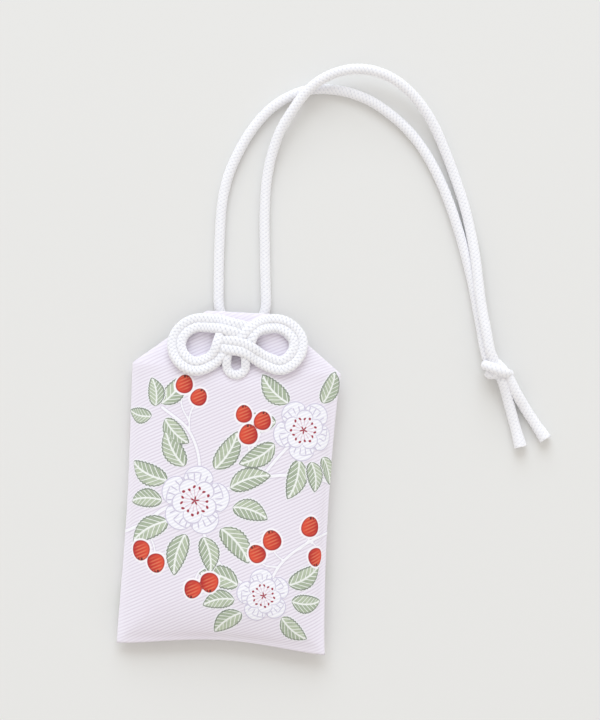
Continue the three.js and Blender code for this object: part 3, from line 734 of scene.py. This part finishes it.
TWILL_ANGLE = math.radians(26.3)
TWILL_PITCH = 0.664
RELIEF = 0.08
RELIEF_EDGE = 0.5
TWIG_RELIEF = 0.7
BACK_SHIFT = 6
LEAF_BEND = 0.16
LEAF_PEAK = 0.374
TOOTH_DEPTH, TOOTH_TURNS = 0.06, 70
PETAL_INNER, PETAL_POWER = 0.66, 0.55
BERRY_LONG, BERRY_TAPER = 1.1, 0.12
RIM_RISE, RIM_WIDTH = 0.06, 0.6
FOLD_DEPTH, FOLD_PLACE, FOLD_WIDTH = 0.06, 1.6, 0.9
FAR = 50.0


def read_values(mesh, name):
    """The number for each point of a mesh."""
    values = np.zeros(len(mesh.vertices), np.float32)
    mesh.attributes[name].data.foreach_get("value", values)
    return values.astype(float)


def set_vectors(mesh, name, x, y):
    """A place in a motif for each point of a mesh."""
    vectors = np.stack((x, y, 0 * x), 1).astype(np.float32)
    attribute = mesh.attributes.new(name, "FLOAT_VECTOR", "POINT")
    attribute.data.foreach_set("vector", vectors.ravel())


def nearest(fields):
    """Each point's least distance, and its place in the motif that is nearest."""
    distances = np.array([f[0] for f in fields])
    pick = distances.argmin(0)
    points = np.arange(distances.shape[1])
    return distances.min(0), *(np.array([f[k] for f in fields])[pick, points] for k in (1, 2))


def turned_to(u, v, x0, y0, angle):
    """Points measured from a place, along and across a direction."""
    c, s = math.cos(angle), math.sin(angle)
    return (u - x0) * c + (v - y0) * s, (v - y0) * c - (u - x0) * s


def leaf_field(u, v, leaf):
    """Distance to a toothed leaf's edge, and the place along and across it."""
    x0, y0, angle, length, width = leaf
    x, y = turned_to(u, v, x0, y0, math.radians(angle))
    x = x / length
    bend = LEAF_BEND * width * 4 * x * (1 - x) * (1 if round(angle) % 4 < 2 else -1)
    y = (y - bend) / (width / 2)
    within = np.clip(x, 0, 1)
    edge = within**0.6 * (1 - within) ** 0.85 / LEAF_PEAK
    edge = edge * (1 + TOOTH_DEPTH * np.sin(TOOTH_TURNS * within))
    beyond = np.maximum(np.abs(x - 0.5) - 0.5, 0) * length
    return (np.abs(y) - edge) * width / 2 + beyond, x, y


def blossom_field(u, v, blossom):
    """Distance to the edge of a blossom's five petals, and the place in it."""
    x0, y0, radius, angle = blossom
    x, y = (k / radius for k in turned_to(u, v, x0, y0, angle))
    petals = np.abs(np.cos(2.5 * np.arctan2(y, x))) ** PETAL_POWER
    edge = PETAL_INNER + (1 - PETAL_INNER) * petals
    return (np.hypot(x, y) - edge) * radius, x, y


def berry_field(u, v, berry):
    """A berry's egg shape points away from the twig that ends at it."""
    x0, y0, radius = berry
    (x1, y1), (x2, y2) = next(route[-2:] for half, route in TWIGS if route[-1] == (x0, y0))
    x, y = (k / radius for k in turned_to(u, v, x0, y0, math.atan2(y2 - y1, x2 - x1)))
    return (np.hypot(x / BERRY_LONG, y * (1 + BERRY_TAPER * x)) - 1) * radius, x, y


def twig_field(u, v, twig):
    """Distance to a twig's line in half widths, squared so that it stays smooth."""
    half, route = twig
    line = spline([(*p, 0) for p in route], 0.5)[:, :2]
    best = np.full(u.shape, FAR)
    for p, q in zip(line[:-1], line[1:]):
        d = q - p
        t = np.clip(((u - p[0]) * d[0] + (v - p[1]) * d[1]) / (d @ d), 0, 1)
        best = np.minimum(best, np.hypot(u - p[0] - t * d[0], v - p[1] - t * d[1]))
    return (best / half) ** 2


def weave(mesh):
    """The woven design as values for the cloth's material, and its relief and the edge's fold."""
    u, v, side, depth = (read_values(mesh, n) for n in ("flat_u", "flat_v", "side", "depth"))
    front = side > 0
    u, v = np.where(front, u, -u), np.where(front, v, -v - BACK_SHIFT)
    twig = np.minimum.reduce([twig_field(u, v, t) for t in TWIGS])
    raised = [TWIG_RELIEF * smoothstep(1.4 - twig / 2)]
    for name, field, items in (
            ("under", leaf_field, UNDER_LEAVES), ("over", leaf_field, OVER_LEAVES),
            ("blossom", blossom_field, BLOSSOMS), ("berry", berry_field, BERRIES)):
        distance, x, y = nearest([field(u, v, item) for item in items])
        set_values(mesh, name + "_d", distance)
        set_vectors(mesh, name, x, y)
        raised.append(smoothstep(0.5 - distance / RELIEF_EDGE))
    c, s = math.cos(TWILL_ANGLE), math.sin(TWILL_ANGLE)
    set_values(mesh, "twig", np.minimum(twig, FAR))
    set_values(mesh, "twill", (v * c - u * s) / TWILL_PITCH)
    set_values(mesh, "warp", (u * c + v * s) / TWILL_PITCH)
    lift = RELIEF * np.maximum.reduce(raised) + RIM_RISE * np.exp(-(depth / RIM_WIDTH) ** 2)
    lift -= FOLD_DEPTH * np.exp(-((depth - FOLD_PLACE) / FOLD_WIDTH) ** 2)
    normals = np.zeros(len(mesh.vertices) * 3, np.float32)
    mesh.vertices.foreach_get("normal", normals)
    co = np.zeros(len(mesh.vertices) * 3, np.float32)
    mesh.vertices.foreach_get("co", co)
    co = co.reshape(-1, 3) + normals.reshape(-1, 3) * (lift * MM)[:, None]
    mesh.vertices.foreach_set("co", co.ravel())
    mesh.update()


weave(fine)


def make_brocade():
    """Lilac twill with the woven design."""
    m = Nodes("brocade")

    def wave(value, turns=1.0):
        """A smooth wave from 0 to 1."""
        sine = m.math("SINE", m.math("MULTIPLY", value, 2 * math.pi * turns))
        return m.math("MULTIPLY_ADD", sine, 0.5, 0.5)

    def under(value, edge, soft=0.06):
        """1 where a value is under an edge."""
        return m.ramp(value, edge + soft, edge - soft)

    def line(value, half, soft=0.03):
        """1 near the zero of a value."""
        return under(m.math("ABSOLUTE", value), half, soft)

    def split(name):
        """The place in a motif, along and across."""
        node = m.add("SeparateXYZ", {0: m.value(name, "Vector")})
        return node.outputs[0], node.outputs[1]

    def both(*shares):
        """Shares multiplied together."""
        result = shares[0]
        for s in shares[1:]:
            result = m.math("MULTIPLY", result, s)
        return result

    # Ground: lilac twill with fine cross threads
    seen = m.ramp(m.value("depth"), 0.3, 2.2, 0.4, 1.0)
    rib = m.math("MULTIPLY_ADD", m.math("SUBTRACT", wave(m.value("twill")), 0.5), seen, 0.5)
    thread = wave(m.value("warp"), 2.5)
    uneven = m.noise(260, 3)
    ground = m.mix(m.ramp(rib, 0.05, 0.6), srgb(229, 223, 233), srgb(245, 242, 249))
    ground = m.mix(m.ramp(uneven, 0.3, 0.7, 0, 0.3), ground, srgb(238, 232, 241))

    # Twigs, white with faint edges
    twig = m.value("twig")
    colour = m.mix(m.math("MULTIPLY", under(twig, 2.0, 0.5), 0.7), ground, srgb(212, 203, 221))
    colour = m.mix(under(twig, 1.0, 0.3), colour, srgb(249, 249, 252))

    # Leaves: sage halves, a pale midrib, slanting veins and fine hatching
    def leaves(colour, name):
        x, y = split(name)
        distance = m.value(name + "_d")
        aside = m.math("ABSOLUTE", y)
        green = m.mix(m.ramp(y, -0.1, 0.1), srgb(170, 185, 157), srgb(192, 204, 178))
        green = m.mix(m.ramp(m.noise(700, 2), 0.4, 0.7, 0, 0.5), green, srgb(154, 168, 146))
        slant = m.math("MULTIPLY_ADD", aside, -2.0, m.math("MULTIPLY", x, 7.0))
        hatch = under(m.math("FRACT", m.math("MULTIPLY", slant, 3.0)), 0.4, 0.12)
        green = m.mix(m.math("MULTIPLY", hatch, 0.5), green, srgb(226, 232, 221))
        vein = under(m.math("FRACT", slant), 0.2, 0.07)
        vein = m.math("MAXIMUM", vein, under(aside, 0.09, 0.04))
        green = m.mix(vein, green, srgb(246, 248, 246))
        rim = m.ramp(distance, -0.32, -0.2)
        green = m.mix(m.math("MULTIPLY", rim, 0.85), green, srgb(134, 142, 133))
        colour = m.mix(under(distance, 0.22), colour, srgb(246, 246, 249))
        return m.mix(under(distance, 0.0), colour, green)

    colour = leaves(leaves(colour, "under"), "over")

    # Berries: orange red with a white outline
    bx, by = split("berry")
    berry_d = m.value("berry_d")
    colour = m.mix(under(berry_d, 0.36), colour, srgb(250, 249, 252))
    red = m.mix(m.ramp(by, -0.8, 0.9), srgb(200, 54, 50), srgb(232, 90, 64))
    stitches = both(m.ramp(rib, 0.45, 0.75), m.ramp(m.math("ABSOLUTE", by), 0.85, 0.35),
                    m.ramp(bx, -0.9, -0.4))
    red = m.mix(m.math("MULTIPLY", stitches, 0.5), red, srgb(247, 160, 116))
    red = m.mix(m.ramp(berry_d, -0.3, -0.12, 0, 0.65), red, srgb(170, 44, 54))
    crown = both(m.ramp(bx, 0.74, 0.8), under(m.math("ABSOLUTE", by), 0.3),
                 m.ramp(wave(by, 2.6), 0.3, 0.6))
    red = m.mix(crown, red, srgb(118, 50, 46))
    colour = m.mix(under(berry_d, 0.0), colour, red)

    # Blossoms: white petals with faint outlines, dark red stamens
    fx, fy = split("blossom")
    out = m.math("SQRT", m.math("ADD", m.math("MULTIPLY", fx, fx), m.math("MULTIPLY", fy, fy)))
    turn = m.math("ARCTAN2", fy, fx)
    petal = m.math("MULTIPLY", m.math("COSINE", m.math("MULTIPLY", turn, 2.5)), out)
    blossom_d = m.value("blossom_d")
    white = m.mix(m.ramp(rib, 0.1, 0.9), srgb(241, 241, 248), srgb(252, 252, 254))
    parting = line(petal, 0.05, 0.02)
    inner_turn = m.math("COSINE", m.math("MULTIPLY_ADD", turn, 2.5, math.pi / 2))
    inner_edge = m.math("POWER", m.math("ABSOLUTE", inner_turn), 0.55)
    inner_edge = m.math("SUBTRACT", out, m.math("MULTIPLY_ADD", inner_edge, 0.24, 0.4))
    inner_petals = line(inner_edge, 0.018, 0.012)
    petal_lines = m.math("MULTIPLY", turn, 25 / (2 * math.pi))
    streak = both(under(wave(petal_lines), 0.1, 0.05), m.ramp(out, 0.56, 0.6),
                  under(out, 0.78, 0.02))
    fold = both(line(m.math("SUBTRACT", out, 0.8), 0.014, 0.01),
                m.ramp(wave(turn, 2.5 / math.pi), 0.3, 0.5))
    edge = line(m.math("ADD", blossom_d, 0.12), 0.12, 0.05)
    outer = m.math("MULTIPLY", m.math("MAXIMUM", m.math("MAXIMUM", parting, fold), streak),
                   m.ramp(inner_edge, 0.0, 0.02))
    lines = m.math("MAXIMUM", m.math("MAXIMUM", outer, inner_petals), edge)
    white = m.mix(lines, white, srgb(216, 211, 228))
    ring_turn = m.math("FRACT", m.math("MULTIPLY", turn, 15 / (2 * math.pi)))
    ring_turn = m.math("SUBTRACT", ring_turn, 0.5)
    ring_out = m.math("MULTIPLY_ADD", wave(turn, 3 / math.pi), 0.07, 0.34)
    from_dot = m.math("ADD", m.math("POWER", m.math("MULTIPLY", ring_turn, 0.16), 2.0),
                      m.math("POWER", m.math("SUBTRACT", out, ring_out), 2.0))
    filament = both(line(ring_turn, 0.14, 0.06), m.ramp(out, 0.1, 0.14), under(out, 0.32, 0.02))
    white = m.mix(m.math("MULTIPLY", filament, 0.6), white, srgb(222, 182, 198))
    star_edge = m.math("MULTIPLY_ADD", m.math("COSINE", m.math("MULTIPLY", turn, 5.0)), -0.05, out)
    stamens = m.math("MAXIMUM", under(from_dot, 0.0017, 0.0006), under(star_edge, 0.08, 0.02))
    white = m.mix(stamens, white, srgb(178, 60, 80))
    colour = m.mix(under(blossom_d, 0.0), colour, white)

    m.bump(m.math("MULTIPLY_ADD", rib, 0.7, m.math("MULTIPLY", thread, 0.3)), 0.00005, 0.7)
    return m.set(Base_Color=colour, Roughness=0.58, Diffuse_Roughness=1.0, Sheen_Weight=0.3,
                 Sheen_Roughness=0.35, Specular_IOR_Level=0.3)


pouch.data.materials.append(make_brocade())

# Sewing thread, two-ply, in running stitches just inside the edge
STITCH = 3.0
STITCH_DEPTH = 0.1
SEAM_INSET = 1.6
THREAD_RADIUS = 0.2
THREAD_STEP = 0.2
THREAD_RELIEF = 0.05
THREAD_SIDES = 10
seam_rows = range(3, BODY_ROWS - 3)
seam_columns = range(4, COLUMNS - 3)


def midway(at, line):
    """The level halfway between front and back cloth, on a row or column of their grids."""
    kind, number = line
    axis, pick = (0, (number, slice(None))) if kind == "row" else (1, (slice(None), number))
    levels = [np.interp(at, grid[pick][:, axis], grid[pick][:, 2])
              for grid in (front_grid, back_grid)]
    return sum(levels) / 2


seam_lines = {}
for name, column, way in (("left", 0, 1), ("right", -1, -1)):
    edge = front_grid[seam_rows, column]
    seam_lines[name] = np.array([(x + way * SEAM_INSET, y, midway(x + way * SEAM_INSET, ("row", r)))
                                 for r, (x, y, _) in zip(seam_rows, edge)])
bottom_edge = front_grid[0, seam_columns]
seam_lines["bottom"] = np.array([(x, y + SEAM_INSET, midway(y + SEAM_INSET, ("column", c)))
                                 for c, (x, y, _) in zip(seam_columns, bottom_edge)])
thread_nodes = Nodes("sewing_thread")
# Painted shade: the thread is darker in the hollows between its plies, where its twist height is
# low.
ply = thread_nodes.mix(thread_nodes.ramp(thread_nodes.value("braid"), 0.1, 0.7),
                       srgb(206, 196, 214), srgb(238, 231, 242))
thread_material = thread_nodes.set(Base_Color=ply, Roughness=0.5, Sheen_Weight=0.2)
for name, line in seam_lines.items():
    line = even(line, THREAD_STEP)
    line[:, 2] += STITCH_DEPTH * np.sin(2 * np.pi * THREAD_STEP * np.arange(len(line)) / STITCH)
    points, faces, heights = braided([line], THREAD_RADIUS, surface=twist, relief=THREAD_RELIEF,
                                     sides=THREAD_SIDES, step=THREAD_STEP)
    stitches = mesh_object(f"{name}_seam_stitches", points, faces)
    set_values(stitches.data, "braid", heights)
    stitches.data.materials.append(thread_material)
    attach(stitches, "pouch")
    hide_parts(f"{name}_seam_thread")

# Wadding: a soft pad with thin edges and a lumpy face, under the front cloth
WADDING_LEVEL, WADDING_RISE = 4.85, 1.33
PAD_SHARE = 0.98
LUMP = 0.06
pad_x, pad_y = np.meshgrid(np.linspace(-1, 1, 49), np.linspace(-1, 1, 71))
pad_middle, pad_reach = (INSERT_TOP + INSERT_BOTTOM) / 2, (INSERT_TOP - INSERT_BOTTOM) / 2
full = np.clip((1 - np.abs(pad_x) ** 8) * (1 - np.abs(pad_y) ** 10), 0, 1) ** 0.5
lumps = LUMP * (np.sin(5.1 * pad_x + 2.3 * pad_y) * np.cos(7.3 * pad_y - 1.7 * pad_x)
                + np.sin(11 * pad_x * pad_y))
rounded = 1 - 0.05 * (pad_x * pad_y) ** 6
flat_pad = np.stack((PAD_SHARE * INSERT_HALF * pad_x * rounded,
                     pad_middle + PAD_SHARE * pad_reach * pad_y * rounded), -1)
pad_top = np.dstack((flat_pad, WADDING_LEVEL + (WADDING_RISE + lumps) * full))
pad_under = np.dstack((flat_pad, np.full(pad_x.shape, WADDING_LEVEL)))
pad_top_index = np.arange(pad_x.size).reshape(pad_x.shape)
pad_rim = np.ones(pad_x.shape, bool)
pad_rim[1:-1, 1:-1] = False
pad_under_index = pad_top_index.copy()
pad_under_index[~pad_rim] = pad_x.size + np.arange((~pad_rim).sum())
pad_points = np.vstack((pad_top.reshape(-1, 3), pad_under[~pad_rim]))
wadding = mesh_object("wadding_fleece", pad_points,
                      quads(pad_top_index, False) + quads(pad_under_index, True))
fleece = Nodes("wadding")
tufts = fleece.noise(900, 6)
fleece.bump(tufts, 0.0003, 0.8)
fleece_tone = fleece.mix(fleece.ramp(tufts, 0.3, 0.7), srgb(226, 225, 220), srgb(247, 246, 242))
wadding.data.materials.append(fleece.set(Base_Color=fleece_tone, Roughness=0.95, Sheen_Weight=0.5))
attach(wadding, "pouch")
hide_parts("wadding_pad")


def stretched(m, x, y, z):
    """The object's own coordinates, scaled along each axis."""
    node = m.add("Mapping", {"Vector": m.add("TexCoord").outputs["Object"], "Scale": (x, y, z)})
    return node.outputs[0]


def make_board(name, dark, light, vector_scale, scale, roughness, relief):
    """Card, paper or wood: fibres or grain of two tones with a slight relief."""
    m = Nodes(name)
    grain = m.noise(scale, 5, stretched(m, *vector_scale))
    flecks = m.noise(scale * 6, 3)
    colour = m.mix(m.ramp(grain, 0.35, 0.65), srgb(*dark), srgb(*light))
    colour = m.mix(m.ramp(flecks, 0.55, 0.75, 0, 0.35), colour, srgb(*dark))
    m.bump(grain, relief, 0.6)
    return m.set(Base_Color=colour, Roughness=roughness, Specular_IOR_Level=0.25)


for node, *board in (
        ("stiffener_card", "grey_board", (176, 170, 158), (200, 194, 182), (1, 1, 1), 420, 0.9,
         0.00006),
        ("tablet_wrapper", "washi_paper", (228, 222, 208), (246, 242, 232), (1, 4, 4), 300, 0.85,
         0.00005),
        ("prayer_tablet", "cypress_wood", (206, 170, 124), (226, 196, 154), (8, 1, 8), 110, 0.6,
         0.00004)):
    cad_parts[node].material_slots[0].material = make_board(*board)

# Stage, light and camera
FLOOR_SIZE = 3000


def plane(name, size, z):
    """A level square of the stage."""
    h = size / 2
    piece = mesh_object(name, [(-h, -h, z), (h, -h, z), (h, h, z), (-h, h, z)], [[0, 1, 2, 3]])
    return piece


floor = plane("floor", FLOOR_SIZE, 0)
floor_nodes = Nodes("table")
floor.data.materials.append(floor_nodes.set(Base_Color=srgb(229, 229, 227), Roughness=0.9,
                                            Specular_IOR_Level=0.1))

LIT_PLACE = Vector((0.013, 0.03, 0))
key = bpy.data.lights.new("key", "AREA")
key.shape = "SQUARE"
key.size = 2.0
key.energy = 39.0
key.color = (0.9, 1.0, 1.12)
lamp = bpy.data.objects.new("key", key)
lamp.location = (-0.25, 2.23, 1.5)
lamp.rotation_euler = (LIT_PLACE - lamp.location).to_track_quat("-Z", "Y").to_euler()
scene.collection.objects.link(lamp)
world = bpy.data.worlds.new("studio")
scene.world = world
world.use_nodes = True
background = world.node_tree.nodes["Background"]
background.inputs["Color"].default_value = (1.04, 1.0, 0.957, 1)
background.inputs["Strength"].default_value = 0.77

PHOTO_CENTRE = (13.2, 26.2)
PHOTO_ROLL = math.radians(3.27)
CAMERA_HEIGHT = 572.0
camera_data = bpy.data.cameras.new("camera")
camera_data.lens = 135
camera_data.sensor_width = 36
camera = bpy.data.objects.new("camera", camera_data)
camera.location = (PHOTO_CENTRE[0] * MM, PHOTO_CENTRE[1] * MM, CAMERA_HEIGHT * MM)
camera.rotation_euler = (0, 0, PHOTO_ROLL)
scene.collection.objects.link(camera)
scene.camera = camera
